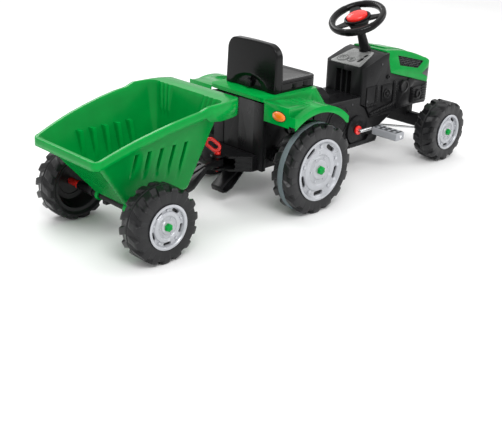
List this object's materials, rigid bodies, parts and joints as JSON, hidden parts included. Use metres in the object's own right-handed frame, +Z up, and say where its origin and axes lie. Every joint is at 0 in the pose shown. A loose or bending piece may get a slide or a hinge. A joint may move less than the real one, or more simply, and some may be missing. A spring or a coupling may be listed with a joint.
{
  "type": "pedal tractor with trailer",
  "caption": "Pedal-driven toy farm tractor with a chain drive, steered front axle and sliding seat, hitched to a two-wheel tipping trailer tub.",
  "frame": {"origin": "centre of the whole object's base box, on the ground", "axes": "+X forward towards the front axle, +Y left, +Z up"},
  "size_m": [1.4358, 0.4892, 0.5112],
  "materials": {
    "green_plastic": "glossy moulded plastic",
    "black_plastic": "satin moulded plastic",
    "seat_plastic": "semi-gloss moulded plastic",
    "tyre_plastic": "blow-moulded plastic, satin",
    "silver_plastic": "silver-grey moulded plastic",
    "red_plastic": "glossy moulded plastic",
    "band_rubber": "ribbed grey-blue rubber",
    "pedal_plastic": "moulded plastic",
    "lamp_plastic": "amber lens",
    "headlamp_plastic": "smoked lens",
    "grille_plastic": "honeycomb grille",
    "dash_plastic": "silver-grey panel",
    "steel": "zinc-plated steel",
    "spring_steel": "spring steel"
  },
  "bodies": {
    "tractor": {"chassis_left": "black_plastic", "chassis_right": "black_plastic", "engine_cover_left": "black_plastic", "engine_cover_right": "black_plastic", "hood": "green_plastic", "hood_grilles": "grille_plastic", "headlights": "headlamp_plastic", "dashboard": "dash_plastic", "steering_column": "black_plastic", "front_axle_beam": "black_plastic", "crank_bearings": "red_plastic", "rear_axle_bushes": "black_plastic", "drive_chain": "steel", "saddle_fenders": "green_plastic", "tail_lights": "lamp_plastic", "hitch_bracket": "black_plastic", "anti_tip_foot": "black_plastic", "body_screws": "steel"},
    "seat": {"seat_shell": "seat_plastic"},
    "seat_knob": {"seat_knob": "black_plastic"},
    "steering": {"steering_wheel": "black_plastic", "steering_shaft": "steel", "horn_housing": "black_plastic", "horn_spring": "spring_steel"},
    "horn": {"horn_button": "red_plastic"},
    "rear_axle": {"rear_axle_rod": "steel", "rear_sprocket": "steel", "rear_tyre_left": "tyre_plastic", "rear_tyre_right": "tyre_plastic", "rear_rim_left": "silver_plastic", "rear_rim_right": "silver_plastic", "rear_hub_caps": "green_plastic", "tread_bands": "band_rubber"},
    "crank": {"crankshaft": "steel", "crank_sprocket": "steel"},
    "hitch_pin": {"hitch_pin": "red_plastic"},
    "trailer": {"trailer_frame": "black_plastic", "trailer_axle": "steel", "trailer_spacers": "red_plastic"},
    "tub": {"trailer_tub": "green_plastic"},
    "knuckle_left": {"knuckle_left": "steel"},
    "steering_link_left": {"steering_link_left": "steel"},
    "front_wheel_left": {"front_tyre_left": "tyre_plastic", "front_rim_left": "silver_plastic", "front_cap_left": "green_plastic"},
    "trailer_wheel_left": {"trailer_tyre_left": "tyre_plastic", "trailer_rim_left": "silver_plastic", "trailer_cap_left": "green_plastic"},
    "pedal_left": {"pedal_left": "pedal_plastic"},
    "knuckle_right": {"knuckle_right": "steel"},
    "steering_link_right": {"steering_link_right": "steel"},
    "front_wheel_right": {"front_tyre_right": "tyre_plastic", "front_rim_right": "silver_plastic", "front_cap_right": "green_plastic"},
    "trailer_wheel_right": {"trailer_tyre_right": "tyre_plastic", "trailer_rim_right": "silver_plastic", "trailer_cap_right": "green_plastic"},
    "pedal_right": {"pedal_right": "pedal_plastic"}
  },
  "joints": [
    {"name": "steer", "type": "hinge", "parent": "tractor", "child": "steering", "pos_m": [0.35605, 0, 0.466], "axis": [-0.4384, 0, 0.8988], "range_deg": [-30, 30]},
    {"name": "horn_press", "type": "slide", "parent": "steering", "child": "horn", "axis": [0.4384, 0, -0.8988], "range_m": [0, 0.003], "stiffness_N_per_m": 300, "springref_m": -0.001, "deforming": ["horn_spring"]},
    {"name": "rear_axle_spin", "type": "hinge", "parent": "tractor", "child": "rear_axle", "pos_m": [-0.05095, 0, 0.1284], "axis": [0, 1, 0], "continuous": true},
    {"name": "crank_spin", "type": "hinge", "parent": "tractor", "child": "crank", "pos_m": [0.29605, 0, 0.138], "axis": [0, 1, 0], "continuous": true},
    {"name": "seat_slide", "type": "slide", "parent": "tractor", "child": "seat", "axis": [1, 0, 0], "range_m": [-0.03, 0.015]},
    {"name": "seat_knob_turn", "type": "hinge", "parent": "seat", "child": "seat_knob", "pos_m": [-0.10865, 0, 0.336], "axis": [-1, 0, 0], "continuous": true},
    {"name": "hitch_pin_lift", "type": "slide", "parent": "tractor", "child": "hitch_pin", "axis": [0, 0, 1], "range_m": [0, 0.06]},
    {"name": "trailer_yaw", "type": "hinge", "parent": "tractor", "child": "trailer", "pos_m": [-0.21995, 0, 0.126], "axis": [0, 0, 1], "range_deg": [-30, 30]},
    {"name": "tub_tip", "type": "hinge", "parent": "trailer", "child": "tub", "pos_m": [-0.57695, 0, 0.0979], "axis": [0, -1, 0], "range_deg": [0, 45]},
    {"name": "knuckle_left_turn", "type": "hinge", "parent": "tractor", "child": "knuckle_left", "pos_m": [0.62005, 0.159, 0.0979], "axis": [0, 0, 1], "range_deg": [-22.5, 22.5]},
    {"name": "steering_link_left_swing", "type": "hinge", "parent": "knuckle_left", "child": "steering_link_left", "pos_m": [0.58805, 0.159, 0.1045], "axis": [0, 0, 1], "range_deg": [-22.5, 22.5]},
    {"name": "front_wheel_left_spin", "type": "hinge", "parent": "knuckle_left", "child": "front_wheel_left", "pos_m": [0.62005, 0.206, 0.0979], "axis": [0, 1, 0], "continuous": true},
    {"name": "trailer_wheel_left_spin", "type": "hinge", "parent": "trailer", "child": "trailer_wheel_left", "pos_m": [-0.57695, 0.22, 0.0979], "axis": [0, 1, 0], "continuous": true},
    {"name": "pedal_left_spin", "type": "hinge", "parent": "crank", "child": "pedal_left", "pos_m": [0.24505, 0.1625, 0.138], "axis": [0, 1, 0], "continuous": true},
    {"name": "knuckle_right_turn", "type": "hinge", "parent": "tractor", "child": "knuckle_right", "pos_m": [0.62005, -0.159, 0.0979], "axis": [0, 0, 1], "range_deg": [-22.5, 22.5]},
    {"name": "steering_link_right_swing", "type": "hinge", "parent": "knuckle_right", "child": "steering_link_right", "pos_m": [0.58805, -0.159, 0.1045], "axis": [0, 0, 1], "range_deg": [-22.5, 22.5]},
    {"name": "front_wheel_right_spin", "type": "hinge", "parent": "knuckle_right", "child": "front_wheel_right", "pos_m": [0.62005, -0.206, 0.0979], "axis": [0, 1, 0], "continuous": true},
    {"name": "trailer_wheel_right_spin", "type": "hinge", "parent": "trailer", "child": "trailer_wheel_right", "pos_m": [-0.57695, -0.22, 0.0979], "axis": [0, 1, 0], "continuous": true},
    {"name": "pedal_right_spin", "type": "hinge", "parent": "crank", "child": "pedal_right", "pos_m": [0.34705, -0.1625, 0.138], "axis": [0, 1, 0], "continuous": true}
  ],
  "couplings": [
    {"joint": "crank_spin", "follows": "rear_axle_spin", "ratio": 0.75},
    {"joint": "knuckle_left_turn", "follows": "steer", "ratio": 0.75},
    {"joint": "steering_link_left_swing", "follows": "steer", "ratio": -0.75},
    {"joint": "knuckle_right_turn", "follows": "steer", "ratio": 0.75},
    {"joint": "steering_link_right_swing", "follows": "steer", "ratio": -0.75}
  ]
}
